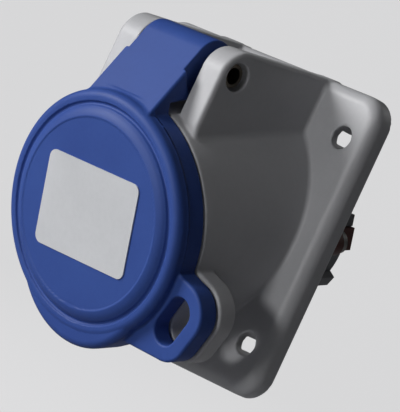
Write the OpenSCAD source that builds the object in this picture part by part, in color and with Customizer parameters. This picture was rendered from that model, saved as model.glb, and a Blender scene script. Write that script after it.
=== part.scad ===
// Angled industrial panel socket, 16 A, three poles, with a sprung hinged lid.
// The panel's face is the plane y = 0, the socket looks toward -Y and +Z is up.
// The origin is the centre of the flange's back face.

/* [Flange] */
// Width and height of the square flange
flange_size = 75; // [74:1:80]
// How far the flange stands in front of the panel
flange_depth = 6; // [5:0.5:8]
// Radius of the flange's corners
flange_corner_r = 6.5; // [5:0.5:9]
// Radius of the flange's front edge
flange_edge_r = 3; // [1.5:0.5:4]
// Distance between the panel screws across the flange
hole_pitch_x = 60; // [58:1:61]
// Distance between the panel screws up the flange
hole_pitch_z = 52; // [50:1:58]
// Diameter of the panel screw holes
hole_d = 5.5; // [4.2:0.1:6]

/* [Snout] */
// Angle by which the plug's axis points down
tilt = 20; // [15:1:22]
// Distance of the rim's centre in front of the panel
rim_reach = 31.2; // [30:0.2:34]
// Distance of the rim's centre below the flange's centre
rim_drop = 11.1; // [10:0.1:12]
// Outer radius of the snout at its rim
rim_r = 28.5; // [28:0.1:29.5]
// Outer radius of the snout where it leaves the flange
base_r = 30.4; // [30:0.1:31.5]
// Wall thickness of the grey moulding
wall = 2.4; // [2:0.1:2.8]

/* [Plug well] */
// Radius of the well that takes the plug's shroud
well_r = 22.6; // [22.2:0.1:23]
// Radius of the insert that the shroud slides over
insert_r = 18.6; // [18:0.1:19]
// Depth of the well below the rim
well_depth = 38; // [36:1:40]
// Distance of the insert's face below the rim
face_depth = 5; // [3:0.5:8]
// Width of the groove that keys the plug
key_w = 7; // [6:0.5:8]

/* [Contacts] */
// Radius of the circle that the contacts stand on
contact_circle_r = 8.5; // [8.2:0.1:9]
// Diameter of the phase and neutral pins
pin_d = 5; // [4.6:0.1:5.2]
// Diameter of the earth pin
earth_pin_d = 6; // [5.6:0.1:6.2]
// Diameter of the wire holes in the terminals
wire_d = 3.4; // [2.8:0.1:3.6]

/* [Lid] */
// Outer radius of the lid
lid_r = 28.4; // [28:0.1:29]
// Height of the lid's outer band above the rim
lid_h = 8.4; // [8:0.1:9.5]
// Radius of the sunk disc that takes the label
disc_r = 22; // [20:0.1:22.4]
// Width of the label
label_w = 30.4; // [24:0.2:34]
// Height of the label
label_h = 22.4; // [18:0.2:26]

/* [Hinge] */
// Distance of the hinge pin in front of the panel
hinge_reach = 33; // [32.6:0.1:33.6]
// Height of the hinge pin above the flange's centre
hinge_height = 27.7; // [27.4:0.1:28.2]
// Diameter of the hinge pin
hinge_pin_d = 5.6; // [5:0.1:5.8]
// Width of the gap between the two cheeks
cheek_gap = 22; // [21.6:0.2:23]
// Width of the lid's arm
arm_w = 21; // [19:0.2:21]
// Angle by which the arm falls back from the lid's plane
arm_slope = 42.5; // [40:0.5:45]

/* [Hidden] */

$fn = 64;
eps = 0.02;            // overlap that joins two solids of one piece
cut = 1;               // how far a cutter runs past the face that it opens
fit = 0.05;            // radial clearance of a part that turns or slides
slack = 0.2;           // clearance between two moulded parts

shell_grey = "#b4b7bb";
lid_blue = "#3f5fae";
insert_brown = "#7d3b33";
carrier_grey = "#8d9094";
rubber_black = "#2b2c2e";
brass = "#c9a75a";
steel = "#b9bcc2";
label_white = "#e6e7ea";

// The hinge pin's place in the rim's own frame
hinge_y = (hinge_reach - rim_reach) * sin(tilt) + (hinge_height + rim_drop) * cos(tilt);
hinge_z = (hinge_reach - rim_reach) * cos(tilt) - (hinge_height + rim_drop) * sin(tilt);
hinge_pin_r = hinge_pin_d / 2;

// The snout's lower lobe, which makes room for the key groove
lobe_r = 22;
lobe_drop = 9.5;

// The sealing eyelet beside the rim: two centres of one rounded slot
eye_r = 7.3;
eye_hole_r = 3.5;
eye_angle = -30;
eye_circle_r = 32.9;
eye_half = 3;
eye_thick = 5;
eye_roots = [[26.4, -6], [15.3, -25]];

// The ribs behind the flange and the gasket strip round its inside
rib_x = hole_pitch_x / 2 - 7.4;
rib_t = 2;
gasket_strip = 2;

// The well's tube and its seat for the insert, with a boss at each side for the insert's screw
tube_r = well_r + 2.2;
tube_tail = 6;
key_depth = 3.4;
ledge_h = 2;
boss_x = 27.6;
boss_r = 3.2;
boss_h = 12;
boss_screw_d = 3;
boss_web = 4;

// The hinge cheeks of the housing and the barrel of the lid's arm between them
cheek_t = 6.6;
cheek_round = 6.2;
cheek_flare = 1.8;
cheek_front = hinge_reach + 5.2;
cheek_top = flange_size / 2 - 0.3;
cheek_foot = 8;
cheek_foot_reach = 24;
cheek_chin = 4;
pin_seat_depth = 1.6;
pin_seat_gap = 0.5;

barrel_r = 6.4;
shoulder = 1.1;         // how far the barrel stands in from each side of the arm
shoulder_r = 8.8;
barrel_w = arm_w - 2 * shoulder;
arm_clear = 0.5;
arm_hollow_depth = 25;
spring_room_r = 4.6;
spring_room_w = 12.4;
lid_gap = 0.3;
lid_edge_r = 1.9;
lid_wall = 2.4;
groove_ring_r = disc_r + 3.2;
groove_r = 0.5;
ring_rise = 1.5;        // the ring inside the groove, above the lid's outer band
disc_rise = 1.2;        // the sunk disc, above the lid's outer band
label_t = 0.3;
label_corner_r = 2;
lobe_step = 0.25;
arm_back_angle = -35;

// The return spring: a coil round the pin, a leg on the snout and a tang in the lid's hub
spring_wire_r = 0.45;
spring_mean_r = 3.8;
spring_turns = 9.8;
spring_pitch = 1.06;
spring_leg = 9.5;
spring_leg_fall = 21;
spring_steps = 14;      // points in one turn
spring_sides = 6;
spring_last = round(spring_turns * spring_steps);
tang_depth = 1;

// The seal's groove under the lid
seal_outer_r = 25.8;
seal_inner_r = 23.2;
seal_h = 2.1;

// Places along the plug's axis, measured from the rim's plane, minus is into the panel
ledge_z = -well_depth;
seat_z = ledge_z - ledge_h;
insert_back_z = seat_z - 4;
carrier_back_z = insert_back_z - 11;
face_t = 3;
sleeve_front_z = -face_depth - face_t - slack;
sleeve_back_z = carrier_back_z + 0.6;
screw_z = (insert_back_z + carrier_back_z) / 2;
tube_back_z = seat_z - tube_tail;
ear_z = seat_z - 1;

// The insert: its wall, chambers, ears and key notch, and the rails that guide the terminal carrier
rail_inner = 18.5;
rail_outer = 23.3;
rail_y = [-4, 1.5];
insert_wall = 2;
chamber_wall = 1.2;
ear_root = 9;
screw_sleeve_t = 1.2;
screw_sleeve_gap = 3.3;
notch_w = 3;
notch_depth = 1;
carrier_r = 21.3;

// Contact data: the angle on the contact circle and the radius of the pin that it takes
PHASE = [30, pin_d / 2];
NEUTRAL = [150, pin_d / 2];
EARTH = [-90, earth_pin_d / 2];
CONTACTS = [PHASE, NEUTRAL, EARTH];
sleeve_wall = 1.1;
ring_t = 0.5;
pin_depth = 26;
wire_depth = 9;
terminal_screw_d = 4;
terminal_screw_r = terminal_screw_d / 2 - fit;
insert_screw_l = 11;

// Puts its children in the rim's frame: x right, y up the lid's plane, z out of the well
module rim_frame() {
    translate([0, -rim_reach, -rim_drop]) rotate([90 + tilt, 0, 0]) children();
}

// Draws a side outline, given as [y, z] points of its frame, across the socket
module across(w) {
    rotate([90, 0, 90]) linear_extrude(height = w, center = true) children();
}

// A cylinder that runs along X
module bar_x(r, l) {
    rotate([0, 90, 0]) cylinder(r = r, h = l, center = true);
}

// The square flange's solid: back face on y = 0, front edge rounded
module soft_slab(size, depth, corner_r, edge_r) {
    hull() for (x = [-1, 1], z = [-1, 1])
        translate([x * (size / 2 - corner_r), 0, z * (size / 2 - corner_r)]) rotate([90, 0, 0]) {
            cylinder(r = corner_r, h = depth - edge_r);
            translate([0, 0, depth - edge_r]) rotate_extrude()
                translate([corner_r - edge_r, 0]) intersection() {
                    circle(r = edge_r);
                    square(edge_r);
                }
        }
}

// The snout's solid, drawn in by the amount inset and started behind the rim by rim_back
module snout_solid(inset, rim_back) {
    hull() {
        rim_frame() translate([0, 0, -rim_back - 1]) {
            cylinder(r = rim_r - inset, h = 1);
            translate([0, -lobe_drop, 0]) cylinder(r = lobe_r - inset, h = 1);
        }
        translate([0, -flange_depth + wall + inset, 0]) rotate([90, 0, 0])
            cylinder(r = base_r - inset, h = 1);
    }
}

// The two ends of the eyelet's slot
module at_eye_ends() {
    for (s = [-1, 1])
        rotate(eye_angle) translate([eye_circle_r, s * eye_half, 0]) children();
}

// The eyelet's plate: round outside its slot, with straight flanks that run off the rim
module eye_plate(grow) {
    root_r = 1;
    linear_extrude(height = eye_thick) hull() {
        at_eye_ends() circle(r = eye_r + grow);
        for (p = eye_roots) translate(p) circle(r = root_r + grow);
    }
}

// The slot through the eyelet, for the wire of a seal or a small lock
module eye_slot(h) {
    at_eye_ends() cylinder(r = eye_hole_r, h = h);
    rotate(eye_angle) translate([eye_circle_r - eye_hole_r, -eye_half, 0])
        cube([2 * eye_hole_r, 2 * eye_half, h]);
}

// The outline of a cheek seen from the side, in the panel's own [y, z]
module cheek_outline() {
    nose = [-cheek_front + cheek_round, hinge_height];
    foot = cheek_foot;
    polygon([[-flange_edge_r, foot + cheek_chin], [-flange_edge_r, cheek_top],
        [-flange_depth, cheek_top], nose + [0, cheek_round], nose, nose - [cheek_round, 0],
        [-cheek_front, foot + cheek_chin], [-cheek_front + cheek_chin, foot], [-cheek_foot_reach, foot]]);
    translate(nose) circle(r = cheek_round);
}

// One cheek: its outer face leans out toward the flange, as a moulding's does
module cheek(side) {
    inner = cheek_gap / 2;
    outer = inner + cheek_t;
    intersection() {
        across(2 * (outer + 2 * cheek_flare)) cheek_outline();
        linear_extrude(height = flange_size) polygon([
            [side * inner, cut], [side * (outer + cheek_flare), cut],
            [side * outer, -cheek_front - cut], [side * inner, -cheek_front - cut]]);
    }
}

// The pair of cheeks on the snout and the flange: the pin goes through, with a recess round its end
module hinge_cheeks() {
    color(shell_grey) difference() {
        for (side = [-1, 1]) cheek(side);
        soft_slab(flange_size, flange_depth, flange_corner_r, flange_edge_r);
        snout_solid(0, 0);
        translate([0, -hinge_reach, hinge_height]) {
            bar_x(hinge_pin_r + fit / 2, 2 * (cheek_gap + cheek_t));
            for (side = [-1, 1])
                translate([side * (cheek_gap / 2 + cheek_t - pin_seat_depth + 5), 0, 0])
                    bar_x(hinge_pin_r + pin_seat_gap, 10);
        }
    }
}

module at_flange_holes() {
    for (x = [-1, 1], z = [-1, 1])
        translate([x * hole_pitch_x / 2, 0, z * hole_pitch_z / 2]) rotate([90, 0, 0]) children();
}

// A sleeve behind each screw hole that stands on the panel, open on the side of the middle
module screw_sleeves(grow) {
    r = hole_d / 2 + screw_sleeve_t + grow;
    for (side = [-1, 1], z = [-1, 1])
        translate([side * hole_pitch_x / 2, 0, z * hole_pitch_z / 2]) rotate([90, 0, 0]) difference() {
            cylinder(r = r, h = flange_depth - eps);
            translate([side > 0 ? -r - cut : 0, grow - screw_sleeve_gap / 2, -cut])
                cube([r + cut, screw_sleeve_gap - 2 * grow, flange_depth + 2 * cut]);
        }
}

// The cored back of the flange, with a rib beside each pair of screws
module flange_core() {
    inner = flange_size - 2 * wall;
    rib = inner - 2 * (gasket_strip + 2 * slack);
    difference() {
        translate([-inner / 2, -flange_depth + wall, -inner / 2]) cube([inner, flange_depth, inner]);
        for (s = [-1, 1]) translate([s * rib_x - rib_t / 2, -flange_depth, -rib / 2])
            cube([rib_t, flange_depth + 2 * cut, rib]);
        translate([0, cut, 0]) screw_sleeves(0);
    }
}

// The bosses that take the insert's screws, one at each side of the well
module insert_bosses(grow) {
    for (side = [-1, 1]) translate([side * boss_x, 0, ear_z]) cylinder(r = boss_r + grow, h = boss_h);
}

// The well's tube and the webs that carry the bosses for the insert's screws
module well_tube() {
    top_z = -wall / 2;
    translate([0, 0, tube_back_z]) cylinder(r = tube_r, h = top_z - tube_back_z);
    insert_bosses(0);
    for (side = [-1, 1]) translate([side * (boss_x - boss_web / 2), 0, ear_z + boss_h / 2])
        cube([boss_web, wall, boss_h], center = true);
}

// The wall round the key groove, which stays inside the snout's skin in front of the flange
module key_block() {
    groove_bottom = well_r + key_depth;
    intersection() {
        rim_frame() translate([-key_w / 2 - wall, -groove_bottom - wall, ledge_z - wall])
            cube([key_w + 2 * wall, 10, wall / 2 - ledge_z]);
        union() {
            snout_solid(0, 0);
            translate([-base_r, -flange_depth + wall, -2 * base_r])
                cube([2 * base_r, well_depth, 2 * base_r]);
        }
    }
}

// The plug's way in: the well, its key groove and ledge, and the notches for the insert's ears
module well_cut() {
    notch = 2 * (boss_r + slack);
    translate([0, 0, seat_z]) cylinder(r = well_r - 1, h = -seat_z + cut);
    translate([0, 0, ledge_z]) cylinder(r = well_r, h = well_depth + cut);
    translate([0, 0, tube_back_z - cut]) cylinder(r = well_r, h = tube_tail + cut);
    translate([-key_w / 2, -well_r - key_depth, ledge_z]) cube([key_w, 8, well_depth + cut]);
    translate([-boss_x, -notch / 2, tube_back_z - cut])
        cube([2 * boss_x, notch, ear_z - tube_back_z + cut]);
    for (side = [-1, 1]) translate([side * boss_x, 0, ear_z - cut])
        cylinder(d = boss_screw_d - 2 * fit, h = boss_h - 2 + cut);
}

// The tilted snout with the plug's well: a skin all round, open toward the panel
module housing() {
    color(shell_grey) difference() {
        union() {
            difference() {
                snout_solid(0, 0);
                snout_solid(wall, wall);
                rotate([90, 0, 0]) cylinder(r = base_r - wall, h = flange_depth);
            }
            rim_frame() well_tube();
            key_block();
        }
        rim_frame() well_cut();
    }
}

// The square flange that the snout grows out of, cored behind, with its four screw holes
module flange() {
    color(shell_grey) difference() {
        soft_slab(flange_size, flange_depth, flange_corner_r, flange_edge_r);
        flange_core();
        snout_solid(0, 0);
        translate([0, cut, 0]) rotate([90, 0, 0])
            cylinder(r = base_r, h = flange_depth - wall + cut);
        rim_frame() insert_bosses(0);
        at_flange_holes() translate([0, 0, -cut]) cylinder(d = hole_d, h = flange_depth + 2 * cut);
    }
}

// The housing's eyelet beside the rim, under the lid's own, a little wider all round
module lock_eyelet() {
    grow = 0.6;
    color(shell_grey) difference() {
        rim_frame() translate([0, 0, -eye_thick - slack]) difference() {
            eye_plate(grow);
            translate([0, 0, -cut]) eye_slot(eye_thick + 2 * cut);
        }
        snout_solid(0, 0);
    }
}

module flange_gasket() {
    outer = flange_size - 2 * wall - 2 * slack;
    inner = outer - 2 * gasket_strip;
    color(rubber_black) translate([0, -flange_depth + wall, 0]) difference() {
        translate([-outer / 2, 0, -outer / 2]) cube([outer, flange_depth - wall, outer]);
        translate([-inner / 2, -cut, -inner / 2]) cube([inner, flange_depth, inner]);
        rotate([90, 0, 0]) cylinder(r = base_r + slack, h = 4 * flange_depth, center = true);
        translate([0, flange_depth - wall, 0]) {
            rim_frame() insert_bosses(slack);
            translate([0, cut, 0]) screw_sleeves(slack);
        }
    }
}

// The lid's turned profile: outer band, groove, sloped ring and sunk disc
module lid_turned() {
    rotate_extrude() difference() {
        union() {
            translate([0, lid_gap]) square([lid_r, lid_h - lid_edge_r - lid_gap]);
            translate([0, lid_gap]) square([lid_r - lid_edge_r, lid_h - lid_gap]);
            translate([lid_r - lid_edge_r, lid_h - lid_edge_r]) circle(r = lid_edge_r);
            polygon([[0, lid_h - cut], [groove_ring_r, lid_h - cut],
                [groove_ring_r - groove_r, lid_h], [disc_r + 2 * groove_r, lid_h + ring_rise],
                [0, lid_h + ring_rise]]);
        }
        translate([groove_ring_r, lid_h]) circle(r = groove_r, $fn = 24);
        translate([-cut, lid_h + disc_rise]) square([disc_r + cut, 2]);
    }
}

// The lid's lower lobe, over the key groove, a little lower than the outer band
module lid_lobe() {
    top = lid_h - lobe_step;
    translate([0, -lobe_drop, 0]) rotate_extrude() {
        translate([0, lid_gap]) square([lobe_r, top - lid_edge_r - lid_gap]);
        translate([0, lid_gap]) square([lobe_r - lid_edge_r, top - lid_gap]);
        translate([lobe_r - lid_edge_r, top - lid_edge_r]) circle(r = lid_edge_r);
    }
}

// The arm's side outline, in the rim frame's [y, z], with the barrel round the pin
module arm_outline() {
    down = [cos(arm_slope), -sin(arm_slope)];
    out = [sin(arm_slope), cos(arm_slope)];
    pin = [hinge_y, hinge_z];
    top = pin + barrel_r * out;
    root = top - down * (lid_h - 0.4 - top[1]) / sin(arm_slope);
    polygon([root - [3, 0], root, top, pin, pin + barrel_r * [cos(200), sin(200)],
        [rim_r + arm_clear, lid_gap], [root[0] - 3, lid_gap]]);
    translate(pin) circle(r = barrel_r);
}

// The hollow behind the arm's front wall, open toward the snout
module arm_hollow() {
    out = [sin(arm_slope), cos(arm_slope)];
    down = [cos(arm_slope), -sin(arm_slope)];
    pin = [hinge_y, hinge_z];
    inner_top = pin + (barrel_r - lid_wall) * out;
    start = rim_r + arm_clear;
    back = pin + (barrel_r + 1) * [cos(arm_back_angle), sin(arm_back_angle)];
    polygon([[start, inner_top[1] + (inner_top[0] - start) * tan(arm_slope)], inner_top, pin,
        back, [back[0], -arm_hollow_depth], [start, -arm_hollow_depth]]);
}

module lid() {
    tang = spring_point(0);
    color(lid_blue) rim_frame() difference() {
        union() {
            lid_turned();
            lid_lobe();
            translate([0, 0, lid_gap]) eye_plate(0);
            difference() {
                across(arm_w) arm_outline();
                across(arm_w - 2 * lid_wall) difference() {
                    arm_hollow();
                    translate([hinge_y, hinge_z]) circle(r = barrel_r);
                }
                for (side = [-1, 1]) translate([side * (barrel_w / 2 + 2), hinge_y, hinge_z])
                    bar_x(shoulder_r, 4);
            }
        }
        translate([0, 0, lid_gap - cut]) cylinder(r = seal_outer_r, h = seal_h - slack + cut);
        translate([0, 0, lid_gap]) cylinder(r = lid_r - 4, h = lid_h - 1.8);
        translate([0, -lobe_drop, lid_gap - cut]) cylinder(r = lobe_r - lid_wall, h = 6 + cut);
        translate([0, 0, lid_gap - cut]) eye_slot(eye_thick + 2 * cut);
        across(spring_room_w) {
            arm_hollow();
            translate([hinge_y, hinge_z]) circle(r = spring_room_r);
        }
        translate([0, hinge_y, hinge_z]) bar_x(hinge_pin_r + fit, 2 * arm_w);
        translate([spring_room_w / 2 - cut, hinge_y + tang[1], hinge_z + tang[2]])
            rotate([0, 90, 0]) cylinder(r = spring_wire_r + slack, h = tang_depth + slack + cut);
    }
}

module lid_seal() {
    color(rubber_black) rim_frame() translate([0, 0, lid_gap - slack]) difference() {
        cylinder(r = seal_outer_r, h = seal_h);
        translate([0, 0, -cut]) cylinder(r = seal_inner_r, h = seal_h + 2 * cut);
    }
}

module label_plate() {
    corner = label_corner_r;
    color(label_white) rim_frame() translate([0, 0, lid_h + disc_rise])
        linear_extrude(height = label_t) hull() for (x = [-1, 1], y = [-1, 1])
            translate([x * (label_w / 2 - corner), y * (label_h / 2 - corner)]) circle(r = corner);
}

module hinge_pin() {
    l = cheek_gap + 2 * cheek_t - 2.4;
    color(steel) translate([0, -hinge_reach, hinge_height]) difference() {
        bar_x(hinge_pin_r, l);
        bar_x(hinge_pin_r - 0.8, l + 2 * cut);
    }
}

// The return spring's wire path, in the hinge pin's own frame: x along the pin
function spring_point(i) = let(
        turn = (i - spring_last) / spring_steps,
        a = 180 - spring_leg_fall + 360 * turn,
        x = -(turn + spring_turns / 2) * spring_pitch)
    [x, spring_mean_r * cos(a), spring_mean_r * sin(a)];

function spring_path() = let(
        leg = [0, -sin(spring_leg_fall), -cos(spring_leg_fall)])
    concat([for (i = [0 : spring_last]) spring_point(i)],
        [spring_point(spring_last) + spring_leg * leg]);

// Sweeps a round wire along a path that never runs along X
module swept_wire(path, r, sides) {
    n = len(path);
    rings = [for (i = [0 : n - 1]) let(
            t0 = path[min(i + 1, n - 1)] - path[max(i - 1, 0)],
            t = t0 / norm(t0),
            s0 = cross(t, [1, 0, 0]),
            s = s0 / norm(s0),
            b = cross(s, t))
        for (k = [0 : sides - 1]) path[i] + r * (cos(360 * k / sides) * s + sin(360 * k / sides) * b)];
    walls = [for (i = [0 : n - 2], k = [0 : sides - 1]) let(k2 = (k + 1) % sides)
        [i * sides + k, i * sides + k2, (i + 1) * sides + k2, (i + 1) * sides + k]];
    ends = [[for (k = [sides - 1 : -1 : 0]) k], [for (k = [0 : sides - 1]) (n - 1) * sides + k]];
    polyhedron(points = rings, faces = concat(walls, ends));
}

module lid_spring() {
    start = spring_point(0);
    tang = spring_room_w / 2 + tang_depth - start[0];
    color(steel) rim_frame() translate([0, hinge_y, hinge_z]) {
        swept_wire(spring_path(), spring_wire_r, spring_sides);
        translate(start + [tang / 2 - spring_wire_r / 2, 0, 0]) bar_x(spring_wire_r, tang + spring_wire_r);
    }
}

// Puts its children at a contact's place on the contact circle, x pointing outward
module at_contact(c) {
    rim_frame() rotate(c[0]) translate([contact_circle_r, 0, 0]) children();
}

function sleeve_r(c) = c[1] + sleeve_wall;
function chamber_r(c) = sleeve_r(c) + ring_t + 0.3;
function block_r(c) = sleeve_r(c) + 0.9;

// The insert's front face, with a hole for each pin of the plug and the key notch
module insert_face() {
    color(insert_brown) difference() {
        rim_frame() translate([0, 0, sleeve_front_z])
            cylinder(r = insert_r, h = -face_depth - sleeve_front_z);
        for (c = CONTACTS) at_contact(c)
            translate([0, 0, sleeve_front_z - cut]) cylinder(r = c[1] + 0.4, h = well_depth);
        insert_notch();
    }
}

// The insert's outer wall, which the plug's shroud slides over
module insert_barrel() {
    color(insert_brown) difference() {
        rim_frame() translate([0, 0, seat_z]) difference() {
            cylinder(r = insert_r, h = sleeve_front_z - seat_z);
            translate([0, 0, -cut]) cylinder(r = insert_r - insert_wall, h = well_depth);
        }
        insert_notch();
    }
}

// The notch down the insert's lowest line, which guides the plug
module insert_notch() {
    rim_frame() translate([-notch_w / 2, -insert_r - cut, seat_z + 2])
        cube([notch_w, notch_depth + cut, well_depth + cut]);
}

// The three chambers that hold the contacts' sleeves
module insert_tubes() {
    color(insert_brown) for (c = CONTACTS) at_contact(c) translate([0, 0, seat_z]) difference() {
        cylinder(r = chamber_r(c) + chamber_wall, h = sleeve_front_z - seat_z);
        translate([0, 0, -cut]) cylinder(r = chamber_r(c), h = well_depth);
    }
}

// The insert's rear plate, with a screw ear at each side and the rails of the terminal carrier
module insert_plate() {
    plate_t = seat_z - insert_back_z;
    ear_h = ear_z - insert_back_z - fit;
    rail_l = insert_back_z - carrier_back_z;
    rail_h = rail_y[1] - rail_y[0];
    color(insert_brown) difference() {
        rim_frame() {
            translate([0, 0, insert_back_z]) cylinder(r = well_r - slack, h = plate_t);
            for (side = [-1, 1]) {
                translate([side * boss_x, 0, insert_back_z]) {
                    cylinder(r = boss_r, h = ear_h);
                    translate([side > 0 ? -ear_root : 0, -boss_r, 0]) cube([ear_root, 2 * boss_r, ear_h]);
                }
                at_rail(side) translate([0, 0, carrier_back_z]) {
                    cube([well_r - 1 - rail_inner, rail_h, rail_l + eps]);
                    cube([rail_outer - rail_inner, rail_h, tube_back_z - slack - carrier_back_z]);
                }
            }
        }
        for (c = CONTACTS) at_contact(c)
            translate([0, 0, insert_back_z - cut]) cylinder(r = chamber_r(c), h = plate_t + 2 * cut);
        rim_frame() for (side = [-1, 1]) translate([side * boss_x, 0, insert_back_z - cut])
            cylinder(d = boss_screw_d + 2 * slack, h = plate_t + 2 * cut);
    }
}

// Puts its children at a rail's inner lower corner, x pointing outward on either side
module at_rail(side) {
    mirror([side > 0 ? 0 : 1, 0, 0]) translate([rail_inner, rail_y[0], 0]) children();
}

// The rear block that holds the terminals, with a window for each screw
module terminal_carrier() {
    h = insert_back_z - carrier_back_z;
    tail_h = tube_back_z - slack - carrier_back_z;
    lug_angle = -34;
    color(carrier_grey) difference() {
        rim_frame() translate([0, 0, carrier_back_z]) {
            cylinder(r = carrier_r, h = h);
            for (side = [-1, 1]) {
                at_rail(side) cube([carrier_r + 1.2 - rail_inner, 8.5, tail_h]);
                mirror([side > 0 ? 0 : 1, 0, 0]) rotate(lug_angle) translate([carrier_r - 2, -1.5, 0])
                    cube([4, 3, tail_h]);
            }
        }
        rim_frame() for (side = [-1, 1])
            at_rail(side) translate([-slack, -slack, carrier_back_z - cut])
                cube([10, rail_y[1] - rail_y[0] + 2 * slack, h + 2 * cut]);
        for (c = CONTACTS) at_contact(c) {
            translate([0, 0, carrier_back_z - cut]) cylinder(r = block_r(c) + fit, h = h + 2 * cut);
            translate([0, 0, screw_z]) rotate([0, 90, 0])
                cylinder(r = terminal_screw_r + 1 + 2 * slack, h = carrier_r);
        }
    }
}

// A contact: split sleeve in front, solid block with wire hole and screw thread behind
module contact(c) {
    slit_w = 0.8;
    slit_l = 16;
    color(brass) at_contact(c) difference() {
        union() {
            translate([0, 0, sleeve_back_z]) cylinder(r = sleeve_r(c), h = sleeve_front_z - sleeve_back_z);
            translate([0, 0, sleeve_back_z])
                cylinder(r = block_r(c), h = insert_back_z - sleeve_back_z - fit);
        }
        translate([0, 0, sleeve_front_z - pin_depth]) cylinder(r = c[1], h = pin_depth + cut);
        translate([-slit_w / 2, -sleeve_r(c) - cut, sleeve_front_z - slit_l])
            cube([slit_w, 2 * sleeve_r(c) + 2 * cut, slit_l + cut]);
        translate([0, 0, sleeve_back_z - cut]) cylinder(d = wire_d, h = wire_depth + cut);
        translate([0, 0, screw_z]) rotate([0, 90, 0]) cylinder(r = terminal_screw_r + fit, h = 10);
    }
}

// A steel ring that presses the two halves of a sleeve onto the pin
module contact_ring(c) {
    h = 3.5;
    color(steel) at_contact(c) translate([0, 0, sleeve_front_z - 5]) difference() {
        cylinder(r = sleeve_r(c) + fit + ring_t, h = h);
        translate([0, 0, -cut]) cylinder(r = sleeve_r(c) + fit, h = h + 2 * cut);
    }
}

// A thin leaf that keeps a terminal's screw off the wire
module wire_leaf(c) {
    t = 0.4;
    w = 2.2;
    color(steel) at_contact(c) translate([wire_d / 2 - t - 0.55, -w / 2, sleeve_back_z + slack])
        cube([t, w, wire_depth - 3 * slack]);
}

// The terminal screws, which stand radially out of their contacts' blocks
module terminal_screws() {
    tip = wire_d / 2 - 0.5;
    head_h = 2.2;
    color(steel) for (c = CONTACTS)
        at_contact(c) translate([0, 0, screw_z]) rotate([0, 90, 0]) difference() {
            head_x = block_r(c) + 0.3;
            union() {
                translate([0, 0, tip]) cylinder(r = terminal_screw_r, h = head_x - tip + eps);
                translate([0, 0, head_x]) cylinder(r = terminal_screw_r + 1, h = head_h);
            }
            translate([0, 0, head_x + head_h]) screw_slot(terminal_screw_r + 1);
        }
}

// The two screws that hold the insert to the housing
module insert_screws() {
    head_r = boss_r - 0.4;
    head_h = 2;
    color(steel) rim_frame() for (side = [-1, 1])
        translate([side * boss_x, 0, insert_back_z]) rotate([180, 0, 0]) difference() {
            union() {
                cylinder(r = head_r, h = head_h);
                translate([0, 0, -insert_screw_l])
                    cylinder(d = boss_screw_d - 4 * fit, h = insert_screw_l + eps);
            }
            for (a = [0, 90]) rotate(a) translate([0, 0, head_h]) screw_slot(head_r);
        }
}

// A screwdriver slot, cut down from z = 0 right across a head
module screw_slot(head_r) {
    depth = 1;
    w = 0.8;
    translate([-head_r - cut, -w / 2, -depth]) cube([2 * (head_r + cut), w, depth + cut]);
}

module contact_l1() { contact(PHASE); }
module contact_n() { contact(NEUTRAL); }
module contact_pe() { contact(EARTH); }
module contact_ring_l1() { contact_ring(PHASE); }
module contact_ring_n() { contact_ring(NEUTRAL); }
module contact_ring_pe() { contact_ring(EARTH); }
module wire_leaf_l1() { wire_leaf(PHASE); }
module wire_leaf_n() { wire_leaf(NEUTRAL); }
module wire_leaf_pe() { wire_leaf(EARTH); }

housing();
flange();
hinge_cheeks();
lock_eyelet();
flange_gasket();
lid();
lid_seal();
label_plate();
hinge_pin();
lid_spring();
insert_face();
insert_barrel();
insert_tubes();
insert_plate();
terminal_carrier();
insert_screws();
contact_l1();
contact_n();
contact_pe();
contact_ring_l1();
contact_ring_n();
contact_ring_pe();
wire_leaf_l1();
wire_leaf_n();
wire_leaf_pe();
terminal_screws();
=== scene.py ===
import math

import bpy
import numpy as np
from mathutils import Matrix, Vector


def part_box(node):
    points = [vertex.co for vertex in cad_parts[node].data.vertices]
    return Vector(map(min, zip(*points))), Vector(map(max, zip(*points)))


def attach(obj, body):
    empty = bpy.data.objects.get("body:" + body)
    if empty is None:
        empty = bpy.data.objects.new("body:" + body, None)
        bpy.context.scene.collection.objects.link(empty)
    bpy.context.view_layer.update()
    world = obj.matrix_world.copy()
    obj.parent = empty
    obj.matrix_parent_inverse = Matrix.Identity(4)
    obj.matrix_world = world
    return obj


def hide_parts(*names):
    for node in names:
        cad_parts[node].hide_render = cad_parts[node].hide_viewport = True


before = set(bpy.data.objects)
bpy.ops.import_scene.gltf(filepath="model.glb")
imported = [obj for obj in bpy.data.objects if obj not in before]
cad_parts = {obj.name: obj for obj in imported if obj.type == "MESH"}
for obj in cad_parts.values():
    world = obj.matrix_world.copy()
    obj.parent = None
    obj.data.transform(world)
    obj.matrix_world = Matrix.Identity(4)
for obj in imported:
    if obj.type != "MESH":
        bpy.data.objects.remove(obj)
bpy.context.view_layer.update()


# ---------------------------------------------------------------- Camera and view
# The camera stands to the right of the socket's front, level with it and rolled,
# and looks through a long lens from 0.9 m away.
AZIMUTH, ELEVATION, ROLL = math.radians(42.19), math.radians(-0.89), math.radians(24.94)
AIM = Vector((-0.00604, 0.0, -0.00147))
DISTANCE = 0.9

to_camera = Vector((math.sin(AZIMUTH) * math.cos(ELEVATION),
                    -math.cos(AZIMUTH) * math.cos(ELEVATION),
                    math.sin(ELEVATION)))
level_right = (-to_camera).cross(Vector((0, 0, 1))).normalized()
level_up = level_right.cross(-to_camera)
cam_right = math.cos(ROLL) * level_right + math.sin(ROLL) * level_up
cam_up = -math.sin(ROLL) * level_right + math.cos(ROLL) * level_up

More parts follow.
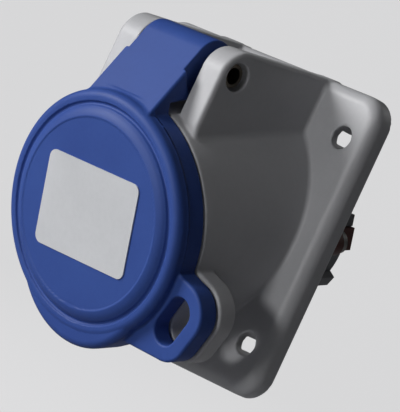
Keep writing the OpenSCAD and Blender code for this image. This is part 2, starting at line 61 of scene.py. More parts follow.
camera_data = bpy.data.cameras.new("camera")
camera_data.lens = 332.9
camera_data.sensor_width = 36
camera_data.clip_end = 20
camera = bpy.data.objects.new("camera", camera_data)
camera.matrix_world = Matrix.Translation(AIM + to_camera * DISTANCE) @ Matrix(
    (cam_right, cam_up, to_camera)).transposed().to_4x4()
bpy.context.scene.collection.objects.link(camera)
bpy.context.scene.camera = camera
bpy.context.scene.view_settings.view_transform = "Standard"


# ---------------------------------------------------------------- Floor, backdrop and light
# A pale studio cove under and behind the socket. One soft lamp stands to the left in front,
# a small one low in front, a weak one behind, and the world gives a low even light.
def new_object(name, mesh):
    obj = bpy.data.objects.new(name, mesh)
    bpy.context.scene.collection.objects.link(obj)
    return obj


def cove_mesh(half_width, front, back, floor_z, radius, top):
    profile = [(front, floor_z)]
    for k in range(17):
        a = math.radians(90 * k / 16)
        profile.append((back - radius + radius * math.sin(a), floor_z + radius - radius * math.cos(a)))
    profile.append((back, top))
    verts = [(x, y, z) for y, z in profile for x in (-half_width, half_width)]
    faces = [(2 * i, 2 * i + 1, 2 * i + 3, 2 * i + 2) for i in range(len(profile) - 1)]
    mesh = bpy.data.meshes.new("cove")
    mesh.from_pydata(verts, [], faces)
    mesh.shade_smooth()
    return mesh


cove = new_object("cove", cove_mesh(6, -6, 2.4, -0.075, 0.8, 5))
cove_paint = bpy.data.materials.new("cove_paint")
cove_paint.use_nodes = True
tree = cove_paint.node_tree
tree.nodes.clear()
matt = tree.nodes.new("ShaderNodeBsdfDiffuse")
matt.inputs["Color"].default_value = (0.46, 0.46, 0.47, 1)
glow = tree.nodes.new("ShaderNodeEmission")
glow.inputs["Color"].default_value = (0.93, 0.93, 0.94, 1)
path = tree.nodes.new("ShaderNodeLightPath")
share = tree.nodes.new("ShaderNodeMath")
share.operation = "MULTIPLY"
share.inputs[1].default_value = 0.72
mix = tree.nodes.new("ShaderNodeMixShader")
out = tree.nodes.new("ShaderNodeOutputMaterial")
tree.links.new(path.outputs["Is Camera Ray"], share.inputs[0])
tree.links.new(share.outputs[0], mix.inputs[0])
tree.links.new(matt.outputs[0], mix.inputs[1])
tree.links.new(glow.outputs[0], mix.inputs[2])
tree.links.new(mix.outputs[0], out.inputs["Surface"])
cove.data.materials.append(cove_paint)

world = bpy.data.worlds.new("studio")
world.use_nodes = True
world.node_tree.nodes["Background"].inputs["Color"].default_value = (0.92, 0.95, 1.0, 1)
world.node_tree.nodes["Background"].inputs["Strength"].default_value = 0.035
bpy.context.scene.world = world


def soft_lamp(name, place, size, power):
    """A round lamp that shines at the origin."""
    data = bpy.data.lights.new(name, "AREA")
    data.shape = "DISK"
    data.size = size
    data.energy = power
    lamp = bpy.data.objects.new(name, data)
    lamp.location = place
    lamp.rotation_euler = (-Vector(place)).to_track_quat("-Z", "Y").to_euler()
    bpy.context.scene.collection.objects.link(lamp)


soft_lamp("key_lamp", (-0.78, -0.94, 0.36), 0.6, 14.5)
soft_lamp("front_lamp", (0.0, -1.40, 0.06), 0.24, 5.0)
soft_lamp("back_lamp", (0.1, 1.3, 0.9), 0.9, 2.5)


# ---------------------------------------------------------------- Housing
# The light grey moulding: square flange, skewed snout, two hinge cheeks and the sealing lug,
# with the plug's well inside. One injection moulding, so every edge and root is rounded.
MM = 0.001
MOST_FACES = 190000
TILT = math.radians(20)
SIN, COS = math.sin(TILT), math.cos(TILT)
RIM_Y, RIM_Z = -31.2, -11.1
FLANGE_HALF, FLANGE_FRONT, WALL = 37.5, -6.0, 2.4
PLATE_BACK_Y = FLANGE_FRONT + WALL
HINGE_Y, HINGE_Z = -33.0, 27.7
CHEEK_FRONT, WELL_BACK, LEDGE_BACK = -38.2, -38.0, -40.0
HOLE_X, HOLE_Z, HOLE_R = 30.0, 26.0, 2.75
EYE_REACH, EYE_ANGLE, EYE_HALF, EYE_SLOT_R = 32.9, math.radians(-30), 3.0, 3.5


def rim_frame(x, y, z):
    """The rim's own right, up and outward distances of points in the row frame, in mm."""
    return (x, -(y - RIM_Y) * SIN + (z - RIM_Z) * COS, -(y - RIM_Y) * COS - (z - RIM_Z) * SIN)


def joined(a, b, r):
    """Two solids made one, with a root of radius r."""
    return np.maximum(r, np.minimum(a, b)) - np.hypot(np.maximum(r - a, 0), np.maximum(r - b, 0))


def common(a, b, r):
    """What two solids share, with an edge of radius r."""
    return np.minimum(-r, np.maximum(a, b)) + np.hypot(np.maximum(r + a, 0), np.maximum(r + b, 0))


def cored(a, b, r=0.3):
    """Solid a with b taken out."""
    return common(a, -b, r)


def block(u, v, half_u, half_v, r=0.0):
    """Outline of a rounded rectangle."""
    a, b = np.abs(u) - half_u + r, np.abs(v) - half_v + r
    return np.hypot(np.maximum(a, 0), np.maximum(b, 0)) + np.minimum(np.maximum(a, b), 0) - r


def strap(u, v, p, rp, q, rq):
    """Outline of a band round two circles, at p and q, of radius rp and rq."""
    length = math.dist(p, q)
    du, dv = (q[0] - p[0]) / length, (q[1] - p[1]) / length
    along = (u - p[0]) * du + (v - p[1]) * dv
    across = np.abs((v - p[1]) * du - (u - p[0]) * dv)
    b = (rp - rq) / length
    a = math.sqrt(1 - b * b)
    k = a * along - b * across
    near = np.hypot(across, along) - rp
    far = np.hypot(across, along - length) - rq
    side = a * across + b * along - rp
    return np.where(k < 0, near, np.where(k > a * length, far, side))


EYE_ENDS = [(EYE_REACH * math.cos(EYE_ANGLE) - s * EYE_HALF * math.sin(EYE_ANGLE),
             EYE_REACH * math.sin(EYE_ANGLE) + s * EYE_HALF * math.cos(EYE_ANGLE)) for s in (1, -1)]
EYE_ROOTS = [(26.4, -6.0), (15.3, -25.0)]


def eyelet(u, v, grow):
    """Outline of the sealing eyelet, seen along the plug's axis."""
    r, root = 7.3 + grow, 1 + grow
    d = strap(u, v, EYE_ENDS[0], r, EYE_ENDS[1], r)
    for end, foot in zip(EYE_ENDS, EYE_ROOTS):
        d = np.minimum(d, strap(u, v, end, r, foot, root))
    return d


def eyelet_slot(u, v):
    """Outline of the slot through an eyelet."""
    return strap(u, v, EYE_ENDS[0], EYE_SLOT_R, EYE_ENDS[1], EYE_SLOT_R - 0.0001)


def snout(x, y, z, inset):
    """The snout's skin, whose cross-section swings from the flange's plane to the rim's."""
    pivot_z = RIM_Z + (FLANGE_FRONT - RIM_Y) / -SIN * COS
    forward, high = FLANGE_FRONT - y, z - pivot_z
    swing = np.arctan2(forward, high)
    t = np.clip(np.sin(swing) / (np.sin(swing) + np.sin(TILT - swing)), -0.5, 1.2)
    straight = np.cos(swing - TILT / 2) / math.cos(TILT / 2)
    rim_radius_at = math.hypot(RIM_Y - FLANGE_FRONT, RIM_Z - pivot_z)
    v = -pivot_z * (1 - t) + rim_radius_at * t - np.hypot(forward, high) * straight
    reach, r = 9.5 * t, 30.4 - 1.9 * t - inset
    b = 6.5 / 9.5
    a = math.sqrt(1 - b * b)
    ax = np.abs(x)
    k = a * v - b * ax
    return np.where(k < 0, np.hypot(ax, v) - r, np.where(
        k > a * reach, np.hypot(ax, v - reach) - (r - 6.5 * t), a * ax + b * v - r))


def housing_shape(x, y, z):
    """Distance to the housing's surface, in mm: the outside first, then what is cored out."""
    u, v, w = rim_frame(x, y, z)
    ax = np.abs(x)
    flange = common(common(block(x, z, FLANGE_HALF, FLANGE_HALF, 6.5), FLANGE_FRONT - y, 3.0), y, 0.3)
    cone = np.maximum(common(snout(x, y, z, 0), w, 0.6), y + 2)
    cone = np.maximum(cone, -w - 60)

    top = (z - 37.2 - (y + 6) * 0.127) * 0.992
    front = CHEEK_FRONT - y
    cheek = common(front, top, 6.2)
    cheek = common(cheek, (CHEEK_FRONT - y + 12 - z) * 0.7071, 1.5)
    cheek = np.maximum(np.maximum(cheek, 8 - z), y + 1)
    cheek = common(cheek, ax - (17.6 + 0.0448 * (y + 39.2)), 1.1)
    cheek = common(cheek, 11 - ax, 0.4)

    outer_side = np.clip((ax - 12.5) / 2, 0, 1)
    body = joined(cone, flange, 0.8)
    body = joined(body, cheek, 0.15 + 0.75 * outer_side)
    lug = common(common(eyelet(u, v, 0.6), w + 0.2, 0.6), -5.2 - w, 0.5)
    body = joined(body, lug, 0.8)

    hollow = np.maximum(block(x, z, FLANGE_HALF - WALL, FLANGE_HALF - WALL), PLATE_BACK_Y - y)
    ribs = np.abs(ax - 22.6) - 1
    hollow = np.maximum(hollow, -np.maximum(ribs, np.abs(z) - 32.3))
    inner = np.maximum(snout(x, y, z, WALL), np.maximum(w + WALL, y - 1))
    inner = np.minimum(inner, np.maximum(np.hypot(x, z) - 28, np.maximum(-5 - y, y - 2)))
    body = cored(body, np.minimum(hollow, inner))
    hole_r = np.hypot(ax - HOLE_X, np.abs(z) - HOLE_Z)
    sleeve_gap = np.maximum(ax - HOLE_X, np.abs(np.abs(z) - HOLE_Z) - 1.65)
    sleeve = np.maximum(hole_r - HOLE_R - 1.2, -sleeve_gap)
    body = joined(body, np.maximum(np.maximum(sleeve, -4 - y), y), 0.3)

    r = np.hypot(u, v)
    tube = np.maximum(r - 24.8, np.maximum(-46 - w, w + 1.2))
    key_block = np.maximum(np.abs(u) - 5.9, np.abs(v + 23.4) - 5)
    key_block = np.maximum(key_block, np.maximum(LEDGE_BACK - 0.4 - w, w + 1.2))
    key_block = np.maximum(key_block, np.minimum(snout(x, y, z, 0), PLATE_BACK_Y - y))
    boss_r = np.hypot(np.abs(u) - 27.6, v)
    boss = np.minimum(boss_r - 3.2, np.maximum(np.abs(v) - 1.2, np.abs(np.abs(u) - 25.6) - 2))
    boss = np.maximum(boss, np.maximum(-41 - w, w + 29))
    body = joined(body, np.minimum(np.minimum(tube, key_block), boss), 0.3)

    well = np.where((w <= WELL_BACK) & (w > LEDGE_BACK), r - 21.6, r - 22.6)
    key = np.maximum(np.maximum(np.abs(u) - 3.5, np.abs(v + 22) - 4), WELL_BACK - w)
    notch = np.maximum(np.maximum(np.abs(v) - 3.4, np.abs(u) - 27.6), w + 41)
    screw_hole = np.maximum(boss_r - 1.45, np.maximum(w + 31, -50 - w))
    body = cored(body, np.minimum(np.minimum(well, key), np.minimum(notch, screw_hole)), 0.35)

    body = cored(body, np.maximum(eyelet_slot(u, v), np.maximum(-8 - w, w - 1)), 0.4)
    panel_hole = np.maximum(hole_r - HOLE_R, -9 - y)
    pin_r = np.hypot(y - HINGE_Y, z - HINGE_Z)
    pin_hole = np.minimum(pin_r - 2.83, np.maximum(pin_r - 3.3, 16 - ax))
    return cored(cored(body, panel_hole, 0.3), pin_hole, 0.3)


CORNERS = [(i, j, k) for i in (0, 1) for j in (0, 1) for k in (0, 1)]
CELL_EDGES = [(a, b) for a in range(8) for b in range(a + 1, 8)
              if sum(abs(p - q) for p, q in zip(CORNERS[a], CORNERS[b])) == 1]


def slope_at(shape, p, step):
    """Unit normals of the shape at points p."""
    g = np.stack([shape(*(p + s).T) - shape(*(p - s).T) for s in np.eye(3) * step], axis=1)
    return g / np.maximum(np.linalg.norm(g, axis=1, keepdims=True), 1e-9)


def skin_of(shape, low, high, cell):
    """The surface of a solid given by its distance function: one vertex in each cell it crosses."""
    axes = [np.arange(lo, hi + cell, cell) for lo, hi in zip(low, high)]
    grid = np.meshgrid(*axes, indexing="ij", sparse=True)
    field = shape(*grid).astype(np.float32)
    inside = field < 0
    count = sum(inside[i:i + inside.shape[0] - 1, j:j + inside.shape[1] - 1,
                       k:k + inside.shape[2] - 1].astype(np.int8) for i, j, k in CORNERS)
    cells = np.argwhere((count > 0) & (count < 8))
    number = np.full(count.shape, -1, np.int32)
    number[tuple(cells.T)] = np.arange(len(cells))
    value = [field[tuple((cells + c).T)] for c in CORNERS]
    total = np.zeros((len(cells), 3))
    hits = np.zeros(len(cells))
    for a, b in CELL_EDGES:
        cross = (value[a] < 0) != (value[b] < 0)
        t = np.where(cross, value[a] / np.where(cross, value[a] - value[b], 1), 0)
        spot = np.array(CORNERS[a]) + t[:, None] * (np.array(CORNERS[b]) - np.array(CORNERS[a]))
        total += np.where(cross[:, None], spot, 0)
        hits += cross
    points = np.array(low) + cell * (cells + total / hits[:, None])
    faces = []
    for axis in range(3):
        u, v = (axis + 1) % 3, (axis + 2) % 3
        lower = np.moveaxis(inside, axis, 0)[:-1]
        upper = np.moveaxis(inside, axis, 0)[1:]
        at = np.argwhere(np.moveaxis(lower != upper, 0, axis))
        at = at[(at[:, u] > 0) & (at[:, v] > 0)]
        eu, ev = np.eye(3, dtype=int)[u], np.eye(3, dtype=int)[v]
        ring = np.stack([number[tuple((at - du * eu - dv * ev).T)]
                         for du, dv in ((1, 1), (0, 1), (0, 0), (1, 0))], axis=1)
        outward = inside[tuple(at.T)]
        faces.append(np.where(outward[:, None], ring, ring[:, ::-1]))
    return points, np.concatenate(faces)


def settle(shape, points, cell):
    """Moves points onto the surface itself."""
    for _ in range(3):
        g = slope_at(shape, points, 0.05)
        d = np.clip(shape(*points.T), -0.4 * cell, 0.4 * cell)
        points = points - d[:, None] * g
    return points


def moulding(name, shape, low, high, cell, most_faces, place=None):
    """A finished mesh of a shape, with its normals taken from the shape itself."""
    points, faces = skin_of(shape, low, high, cell)
    points = settle(shape, points, cell)
    mesh = bpy.data.meshes.new(name)
    mesh.from_pydata(points.tolist(), [], faces.tolist())
    obj = new_object(name, mesh)
    triangles = 2 * len(faces)
    if triangles > most_faces:
        thin = obj.modifiers.new("thin", "DECIMATE")
        thin.ratio = most_faces / triangles
        mesh = bpy.data.meshes.new_from_object(
            obj.evaluated_get(bpy.context.evaluated_depsgraph_get()))
        obj.modifiers.remove(thin)
        obj.data = mesh
        mesh.name = name
    co = np.zeros(3 * len(mesh.vertices))
    mesh.vertices.foreach_get("co", co)
    co = co.reshape(-1, 3)
    normal = slope_at(shape, co, 0.35 * cell)
    if place is not None:
        turn, shift = place
        co, normal = co @ turn.T + shift, normal @ turn.T
    mesh.vertices.foreach_set("co", (co * MM).ravel())
    mesh.shade_smooth()
    mesh.normals_split_custom_set_from_vertices(normal.tolist())
    mesh.update()
    return obj


def node(tree, kind, **values):
    """A shader node with its named inputs set."""
    n = tree.nodes.new(kind)
    for key, value in values.items():
        if hasattr(n, key):
            setattr(n, key, value)
        else:
            n.inputs[key.replace("_", " ")].default_value = value
    return n


def moulded_plastic(name, colour, dark, rough, grain=0.05, coat=0.0):
    """Fine-grained moulding: slow cloudiness in the colour, faint flow marks and a matt grain."""
    mat = bpy.data.materials.new(name)
    mat.use_nodes = True
    tree = mat.node_tree
    shader = tree.nodes["Principled BSDF"]
    shader.inputs["IOR"].default_value = 1.5
    shader.inputs["Coat Weight"].default_value = coat
    shader.inputs["Coat Roughness"].default_value = 0.25
    place = node(tree, "ShaderNodeTexCoord")
    cloud = node(tree, "ShaderNodeTexNoise", Scale=55.0, Detail=3.0, Roughness=0.5)
    fleck = node(tree, "ShaderNodeTexNoise", Scale=900.0, Detail=2.0, Roughness=0.6)
    skin = node(tree, "ShaderNodeTexNoise", Scale=2600.0, Detail=2.0, Roughness=0.5)
    for n in (cloud, fleck, skin):
        tree.links.new(place.outputs["Object"], n.inputs["Vector"])
    blend = node(tree, "ShaderNodeMath", operation="MULTIPLY_ADD")
    blend.inputs[1].default_value = 0.35
    tree.links.new(fleck.outputs["Fac"], blend.inputs[0])
    tree.links.new(cloud.outputs["Fac"], blend.inputs[2])
    ramp = node(tree, "ShaderNodeValToRGB")
    ramp.color_ramp.elements[0].position = 0.45
    ramp.color_ramp.elements[0].color = (*dark, 1)
    ramp.color_ramp.elements[1].position = 0.9
    ramp.color_ramp.elements[1].color = (*colour, 1)
    tree.links.new(blend.outputs[0], ramp.inputs["Fac"])
    tree.links.new(ramp.outputs["Color"], shader.inputs["Base Color"])
    gloss = node(tree, "ShaderNodeMapRange")
    gloss.inputs["To Min"].default_value = rough - 0.06
    gloss.inputs["To Max"].default_value = rough + 0.06
    tree.links.new(cloud.outputs["Fac"], gloss.inputs["Value"])
    tree.links.new(gloss.outputs["Result"], shader.inputs["Roughness"])
    bump = node(tree, "ShaderNodeBump", Strength=grain, Distance=0.0002)
    tree.links.new(skin.outputs["Fac"], bump.inputs["Height"])
    tree.links.new(bump.outputs["Normal"], shader.inputs["Normal"])
    return mat


def box_mm(names, margin):
    """The box round CAD nodes, with a margin, in mm."""
    boxes = np.array([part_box(name) for name in names]) / MM
    return boxes[:, 0].min(axis=0) - margin, boxes[:, 1].max(axis=0) + margin


HOUSING_NODES = ("housing", "flange", "hinge_cheeks", "lock_eyelet")
housing_grey = moulded_plastic("housing_grey", (0.47, 0.472, 0.488), (0.42, 0.423, 0.44), 0.48, 0.10)
housing_cell = 0.5
housing_piece = moulding("housing_shell", housing_shape, *box_mm(HOUSING_NODES, 1.2),
                         housing_cell, MOST_FACES)
housing_piece.data.materials.append(housing_grey)
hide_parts(*HOUSING_NODES)
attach(housing_piece, "base")


# ---------------------------------------------------------------- Lid
# The blue sprung lid: outer band, groove, sloped ring and sunk disc, a lower lobe over the
# key groove, the sealing eyelet, and a hollow arm that ends in the hinge's barrel.
PIN_V = -(HINGE_Y - RIM_Y) * SIN + (HINGE_Z - RIM_Z) * COS
PIN_W = -(HINGE_Y - RIM_Y) * COS - (HINGE_Z - RIM_Z) * SIN
ARM_FALL = math.radians(42.5)
LID_TOP = 8.4


def lid_shape(u, v, w):
    """Distance to the lid's surface, in mm, in the rim's frame."""
    au = np.abs(u)
    r = np.hypot(u, v)
    band = common(common(r - 28.4, w - LID_TOP, 1.9), 0.3 - w, 0.3)
    low = np.hypot(u, v + 9.5)
    lobe = common(common(low - 22, w - LID_TOP + 0.25, 1.9), 0.3 - w, 0.3)
    ring = common(0.662 * (r - 24.7) + 0.75 * (w - LID_TOP), w - LID_TOP - 1.5, 1.1)
    ring = np.maximum(ring, 5 - w)
    body = joined(np.minimum(band, lobe), ring, 0.25)

    out = (v - PIN_V) * math.sin(ARM_FALL) + (w - PIN_W) * math.cos(ARM_FALL)
    down = (v - PIN_V) * math.cos(ARM_FALL) - (w - PIN_W) * math.sin(ARM_FALL)
    pin_r = np.hypot(v - PIN_V, w - PIN_W)
    back = np.minimum(-0.9895 * (v - 29.0) - 0.1456 * (w - 0.3), 0.3 - w)
    arm = np.maximum(np.maximum(out - 6.4, back), np.maximum(down, 22 - v))
    arm = common(arm, w - 8.0, 1.5)
    arm = np.minimum(arm, pin_r - 6.4)
    arm = common(arm, au - 10.5, 0.7)
    body = joined(body, arm, 0.5)
    tab = common(common(eyelet(u, v, 0), w - 5.3, 0.7), 0.3 - w, 0.3)
    body = joined(body, tab, 0.6)

    body = cored(body, common(r - 22, 9.6 - w, 0.2), 0.35)
    body = cored(body, np.hypot(r - 25.2, w - LID_TOP) - 0.5, 0.2)
    body = cored(body, np.maximum(eyelet_slot(u, v), np.maximum(-1 - w, w - 7)), 0.5)
    under = np.minimum(np.maximum(r - 25.8, w - 2.2), np.maximum(r - 24.4, w - 6.9))
    under = np.minimum(under, np.maximum(low - 19.6, w - 6.3))
    body = cored(body, under, 0.25)
    ray = (v - PIN_V) * math.sin(math.radians(35)) + (w - PIN_W) * math.cos(math.radians(35))
    hollow = np.maximum(np.maximum(29 - v, out - 4), np.minimum(down, ray))
    wide = np.maximum(np.maximum(hollow, 6.4 - pin_r), au - 8.1)
    narrow = np.maximum(np.minimum(hollow, pin_r - 4.6), au - 6.2)
    body = cored(body, np.minimum(wide, narrow), 0.3)
    body = cored(body, np.maximum(pin_r - 8.8, 9.4 - au), 0.3)
    return cored(body, pin_r - 2.85, 0.2)


lid_blue = moulded_plastic("lid_blue", (0.034, 0.078, 0.300), (0.029, 0.066, 0.265), 0.50, 0.05, 0.0)
lid_blue.node_tree.nodes["Principled BSDF"].inputs["Specular IOR Level"].default_value = 0.22
RIM_TURN = np.array([[1, 0, 0], [0, -SIN, -COS], [0, COS, -SIN]])
RIM_PLACE = (RIM_TURN, np.array([0, RIM_Y, RIM_Z]))
lid_piece = moulding("lid_cover", lid_shape, (-29.6, -32.8, -20), (38.4, 45, 11.2),
                     0.36, MOST_FACES, RIM_PLACE)
lid_piece.data.materials.append(lid_blue)
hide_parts("lid")
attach(lid_piece, "lid")


# ---------------------------------------------------------------- Label
# A pale foil plate glued into the lid's sunk disc, left without any print.
label_foil = moulded_plastic("label_foil", (0.60, 0.61, 0.63), (0.54, 0.55, 0.57), 0.42, 0.06)
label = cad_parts["label_plate"]
label.data.materials.clear()
label.data.materials.append(label_foil)


# ---------------------------------------------------------------- Metal finish
# Steel and brass share one finish, drawn or plated, and the spring and the screws share the
# helpers that run a Geometry Nodes tree and keep its plain mesh.
def metal(name, colour, rough, streak):
    """Drawn or plated metal with fine streaks and a little tarnish."""
    mat = bpy.data.materials.new(name)
    mat.use_nodes = True
    tree = mat.node_tree
    shader = tree.nodes["Principled BSDF"]
    shader.inputs["Metallic"].default_value = 1.0
    place = node(tree, "ShaderNodeTexCoord")
    stretch = node(tree, "ShaderNodeMapping")
    stretch.inputs["Scale"].default_value = streak
    cloud = node(tree, "ShaderNodeTexNoise", Scale=700.0, Detail=4.0, Roughness=0.6)
    tree.links.new(place.outputs["Object"], stretch.inputs["Vector"])
    tree.links.new(stretch.outputs["Vector"], cloud.inputs["Vector"])
    ramp = node(tree, "ShaderNodeValToRGB")
    ramp.color_ramp.elements[0].color = (*[c * 0.72 for c in colour], 1)
    ramp.color_ramp.elements[1].color = (*colour, 1)
    ramp.color_ramp.elements[0].position = 0.3
    ramp.color_ramp.elements[1].position = 0.65
    tree.links.new(cloud.outputs["Fac"], ramp.inputs["Fac"])
    tree.links.new(ramp.outputs["Color"], shader.inputs["Base Color"])
    gloss = node(tree, "ShaderNodeMapRange")
    gloss.inputs["To Min"].default_value = rough + 0.1
    gloss.inputs["To Max"].default_value = rough - 0.08
    tree.links.new(cloud.outputs["Fac"], gloss.inputs["Value"])
    tree.links.new(gloss.outputs["Result"], shader.inputs["Roughness"])
    bump = node(tree, "ShaderNodeBump", Strength=0.08, Distance=0.0001)
    tree.links.new(cloud.outputs["Fac"], bump.inputs["Height"])
    tree.links.new(bump.outputs["Normal"], shader.inputs["Normal"])
    return mat


def node_group(name, inputs):
    """An empty Geometry Nodes tree with its named inputs, and its input and output nodes."""
    tree = bpy.data.node_groups.new(name, "GeometryNodeTree")
    tree.interface.new_socket("Geometry", in_out="INPUT", socket_type="NodeSocketGeometry")
    for label, kind in inputs:
        tree.interface.new_socket(label, in_out="INPUT", socket_type="NodeSocket" + kind)
    tree.interface.new_socket("Geometry", in_out="OUTPUT", socket_type="NodeSocketGeometry")
    return tree, tree.nodes.new("NodeGroupInput"), tree.nodes.new("NodeGroupOutput")


def grow(name, data, tree, **values):
    """Runs a tree on data with its inputs set, and returns the plain mesh object that it makes."""
    seed = new_object(name + "_seed", data)
    modifier = seed.modifiers.new("grow", "NODES")
    modifier.node_group = tree
    for item in tree.interface.items_tree:
        key = item.name.lower().replace(" ", "_")
        if item.item_type == "SOCKET" and item.in_out == "INPUT" and key in values:
            modifier[item.identifier] = values[key]
    mesh = bpy.data.meshes.new_from_object(
        seed.evaluated_get(bpy.context.evaluated_depsgraph_get()))
    seed.modifiers.remove(modifier)
    bpy.data.objects.remove(seed)
    mesh.name = name
    return new_object(name, mesh)


def from_rim(points):
    """Points given in the rim's frame in mm, as points of the row frame in metres."""
    turn, shift = RIM_PLACE
    return (np.asarray(points, float) @ turn.T + shift) * MM


# ---------------------------------------------------------------- Return spring
# Round wire wound round the hinge pin, with a leg that bears on the snout and a tang in the
# lid's hub. A tree sweeps the wire along the path that the solid follows.
spring_steel = metal("spring_steel", (0.52, 0.52, 0.54), 0.30, (0.3, 1, 1))
wire_tree, given, made = node_group("swept_wire", (
    ("Wire Radius", "Float"), ("Sides", "Int"), ("Finish", "Material")))
ring = wire_tree.nodes.new("GeometryNodeCurvePrimitiveCircle")
sweep = wire_tree.nodes.new("GeometryNodeCurveToMesh")
sweep.inputs["Fill Caps"].default_value = True
smooth = wire_tree.nodes.new("GeometryNodeSetShadeSmooth")
real = wire_tree.nodes.new("GeometryNodeRealizeInstances")
paint = wire_tree.nodes.new("GeometryNodeSetMaterial")
wire_tree.links.new(given.outputs["Sides"], ring.inputs["Resolution"])
wire_tree.links.new(given.outputs["Wire Radius"], ring.inputs["Radius"])
wire_tree.links.new(given.outputs["Geometry"], sweep.inputs["Curve"])
wire_tree.links.new(ring.outputs["Curve"], sweep.inputs["Profile Curve"])
wire_tree.links.new(sweep.outputs["Mesh"], smooth.inputs["Geometry"])
wire_tree.links.new(smooth.outputs["Geometry"], real.inputs["Geometry"])
wire_tree.links.new(real.outputs["Geometry"], paint.inputs["Geometry"])
wire_tree.links.new(given.outputs["Finish"], paint.inputs["Material"])
wire_tree.links.new(paint.outputs["Geometry"], made.inputs["Geometry"])

SPRING_R, WIRE_R, TURNS, PITCH, LEG, LEG_FALL = 3.8, 0.45, 137 / 14, 1.06, 9.5, math.radians(21)
turn = np.linspace(-TURNS, 0, round(TURNS * 48))
angle = math.pi - LEG_FALL + 2 * math.pi * turn
coil = np.stack([-(turn + 4.9) * PITCH, PIN_V + SPRING_R * np.cos(angle),
                 PIN_W + SPRING_R * np.sin(angle)], axis=1)
wire_path = np.vstack([[(7.2, *coil[0][1:])], coil,
                       [coil[-1] + LEG * np.array([0, -math.sin(LEG_FALL), -math.cos(LEG_FALL)])]])
wire_curve = bpy.data.curves.new("spring_path", "CURVE")
wire_curve.dimensions = "3D"
wire_spline = wire_curve.splines.new("POLY")
wire_spline.points.add(len(wire_path) - 1)
wire_spline.points.foreach_set(
    "co", np.column_stack([from_rim(wire_path), np.ones(len(wire_path))]).ravel())
spring_piece = grow("spring_wire", wire_curve, wire_tree, wire_radius=WIRE_R * MM, sides=14,
                    finish=spring_steel)
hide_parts("lid_spring")
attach(spring_piece, "base")


# ---------------------------------------------------------------- Screws
# Plated steel: two cross-head screws hold the insert from behind, and one slotted screw clamps
# the wire in each terminal. A tree makes one screw and sets it at each place, along its axis.
plated_steel = metal("plated_steel", (0.34, 0.335, 0.325), 0.42, (1, 1, 1))
screw_tree, given, made = node_group("set_of_screws", (
    ("Head Radius", "Float"), ("Head Height", "Float"), ("Chamfer", "Float"),
    ("Shank Radius", "Float"), ("Shank Length", "Float"), ("Slot Width", "Float"),
    ("Slot Depth", "Float"), ("Slots", "Int"), ("Finish", "Material")))


def math_of(tree, operation, a, b):
    """A math node on two sockets or numbers."""
    n = tree.nodes.new("ShaderNodeMath")
    n.operation = operation
    for k, value in enumerate((a, b)):
        if isinstance(value, (int, float)):
            n.inputs[k].default_value = value
        else:
            tree.links.new(value, n.inputs[k])
    return n.outputs[0]


def moved_up(tree, geometry, height):
    """Geometry moved along Z by a socket's value."""
    place = tree.nodes.new("ShaderNodeCombineXYZ")
    tree.links.new(height, place.inputs["Z"])
    n = tree.nodes.new("GeometryNodeTransform")
    tree.links.new(geometry, n.inputs["Geometry"])
    tree.links.new(place.outputs[0], n.inputs["Translation"])
    return n.outputs[0]


def drum(tree, bottom, top, height):
    """A closed drum on the plane z = 0, of two radii and a height given by sockets."""
    n = tree.nodes.new("GeometryNodeMeshCone")
    n.inputs["Vertices"].default_value = 40
    tree.links.new(bottom, n.inputs["Radius Bottom"])
    tree.links.new(top, n.inputs["Radius Top"])
    tree.links.new(height, n.inputs["Depth"])
    return n.outputs["Mesh"]


head_r, head_h, chamfer = (given.outputs[k] for k in ("Head Radius", "Head Height", "Chamfer"))
side_h = math_of(screw_tree, "SUBTRACT", head_h, chamfer)
body = drum(screw_tree, head_r, head_r, side_h)
crown = moved_up(screw_tree, drum(
    screw_tree, head_r, math_of(screw_tree, "SUBTRACT", head_r, chamfer), chamfer), side_h)
shank = moved_up(screw_tree, drum(
    screw_tree, given.outputs["Shank Radius"], given.outputs["Shank Radius"],
    given.outputs["Shank Length"]), math_of(screw_tree, "MULTIPLY", given.outputs["Shank Length"], -1.0))
slot_size = screw_tree.nodes.new("ShaderNodeCombineXYZ")
screw_tree.links.new(math_of(screw_tree, "MULTIPLY", head_r, 3.0), slot_size.inputs["X"])
screw_tree.links.new(given.outputs["Slot Width"], slot_size.inputs["Y"])
screw_tree.links.new(
    math_of(screw_tree, "MULTIPLY", given.outputs["Slot Depth"], 2.0), slot_size.inputs["Z"])
slot_cutter = screw_tree.nodes.new("GeometryNodeMeshCube")
screw_tree.links.new(slot_size.outputs[0], slot_cutter.inputs["Size"])
slot_row = screw_tree.nodes.new("GeometryNodeMeshLine")
slot_row.inputs["Offset"].default_value = (0, 0, 0)
screw_tree.links.new(given.outputs["Slots"], slot_row.inputs["Count"])
slot_turn = screw_tree.nodes.new("ShaderNodeCombineXYZ")
slot_index = screw_tree.nodes.new("GeometryNodeInputIndex")
screw_tree.links.new(
    math_of(screw_tree, "MULTIPLY", slot_index.outputs[0], math.pi / 2), slot_turn.inputs["Z"])
slots = screw_tree.nodes.new("GeometryNodeInstanceOnPoints")
screw_tree.links.new(slot_row.outputs["Mesh"], slots.inputs["Points"])
screw_tree.links.new(slot_cutter.outputs["Mesh"], slots.inputs["Instance"])
screw_tree.links.new(slot_turn.outputs[0], slots.inputs["Rotation"])
slots_real = screw_tree.nodes.new("GeometryNodeRealizeInstances")
screw_tree.links.new(slots.outputs["Instances"], slots_real.inputs["Geometry"])
carve = screw_tree.nodes.new("GeometryNodeMeshBoolean")
carve.operation = "DIFFERENCE"
screw_tree.links.new(crown, carve.inputs["Mesh 1"])
screw_tree.links.new(moved_up(screw_tree, slots_real.outputs[0], head_h), carve.inputs["Mesh 2"])
whole = screw_tree.nodes.new("GeometryNodeJoinGeometry")
for part in (body, carve.outputs["Mesh"], shank):
    screw_tree.links.new(part, whole.inputs["Geometry"])
axis = screw_tree.nodes.new("GeometryNodeInputNamedAttribute")
axis.data_type = "FLOAT_VECTOR"
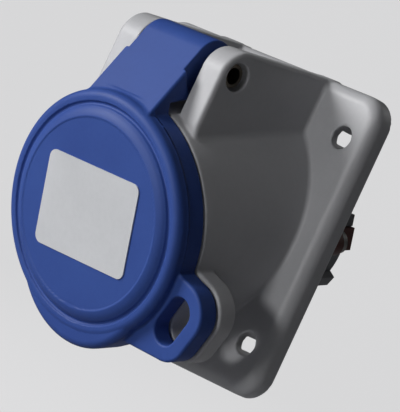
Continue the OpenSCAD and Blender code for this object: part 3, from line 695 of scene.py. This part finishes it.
axis.inputs["Name"].default_value = "axis"
aim = screw_tree.nodes.new("FunctionNodeAlignRotationToVector")
aim.axis = "Z"
screw_tree.links.new(axis.outputs["Attribute"], aim.inputs["Vector"])
every = screw_tree.nodes.new("GeometryNodeInstanceOnPoints")
screw_tree.links.new(given.outputs["Geometry"], every.inputs["Points"])
screw_tree.links.new(whole.outputs["Geometry"], every.inputs["Instance"])
screw_tree.links.new(aim.outputs["Rotation"], every.inputs["Rotation"])
real = screw_tree.nodes.new("GeometryNodeRealizeInstances")
screw_tree.links.new(every.outputs["Instances"], real.inputs["Geometry"])
paint = screw_tree.nodes.new("GeometryNodeSetMaterial")
screw_tree.links.new(real.outputs["Geometry"], paint.inputs["Geometry"])
screw_tree.links.new(given.outputs["Finish"], paint.inputs["Material"])
screw_tree.links.new(paint.outputs["Geometry"], made.inputs["Geometry"])


def set_of_screws(name, places, axes, **sizes):
    """Screws whose heads seat at places in the rim's frame and stand out along axes."""
    seats = bpy.data.meshes.new(name + "_seats")
    seats.from_pydata(from_rim(places).tolist(), [], [])
    seats.attributes.new("axis", "FLOAT_VECTOR", "POINT").data.foreach_set(
        "vector", (np.asarray(axes, float) @ RIM_TURN.T).ravel())
    sizes = {key: value if key == "slots" else value * MM for key, value in sizes.items()}
    piece = grow(name, seats, screw_tree, finish=plated_steel, **sizes)
    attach(piece, "base")
    return piece


PLATE_BACK, TERMINAL_W, CIRCLE_R = -44.0, -49.5, 8.5
insert_piece = set_of_screws(
    "insert_screw_set", [(-27.6, 0, PLATE_BACK), (27.6, 0, PLATE_BACK)], [(0, 0, -1)] * 2,
    head_radius=2.8, head_height=2.0, chamfer=0.35, shank_radius=1.4, shank_length=11.0,
    slot_width=0.8, slot_depth=1.0, slots=2)
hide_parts("insert_screws")
around = [(math.cos(math.radians(a)), math.sin(math.radians(a)), reach)
          for a, reach in ((30, 4.8), (150, 4.8), (-90, 5.3))]
terminal_piece = set_of_screws(
    "terminal_screw_set",
    [((CIRCLE_R + reach) * c, (CIRCLE_R + reach) * s, TERMINAL_W) for c, s, reach in around],
    [(c, s, 0) for c, s, _ in around],
    head_radius=2.95, head_height=2.2, chamfer=0.35, shank_radius=1.95, shank_length=3.6,
    slot_width=0.8, slot_depth=1.0, slots=1)
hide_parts("terminal_screws")


# ---------------------------------------------------------------- Inner pieces
# Insert, carrier, contacts, rings, leaves, pin and seals keep their solids and get their finishes.
insert_brown = moulded_plastic(
    "insert_brown", (0.095, 0.028, 0.022), (0.075, 0.022, 0.018), 0.45, 0.08)
carrier_grey = moulded_plastic(
    "carrier_grey", (0.16, 0.163, 0.175), (0.13, 0.133, 0.145), 0.5, 0.1)
seal_rubber = moulded_plastic(
    "seal_rubber", (0.030, 0.030, 0.033), (0.020, 0.020, 0.022), 0.72, 0.2)
contact_brass = metal("contact_brass", (0.72, 0.50, 0.22), 0.28, (1, 1, 0.2))
pin_tube = metal("pin_tube", (0.30, 0.26, 0.21), 0.42, (0.2, 1, 1))
FINISHES = (
    (insert_brown, ("insert_face", "insert_barrel", "insert_tubes", "insert_plate")),
    (carrier_grey, ("terminal_carrier",)),
    (seal_rubber, ("flange_gasket", "lid_seal")),
    (contact_brass, ("contact_l1", "contact_n", "contact_pe")),
    (spring_steel, ("contact_ring_l1", "contact_ring_n", "contact_ring_pe",
                    "wire_leaf_l1", "wire_leaf_n", "wire_leaf_pe")),
    (pin_tube, ("hinge_pin",)),
)
for material, names in FINISHES:
    for name in names:
        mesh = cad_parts[name].data
        mesh.materials.clear()
        mesh.materials.append(material)
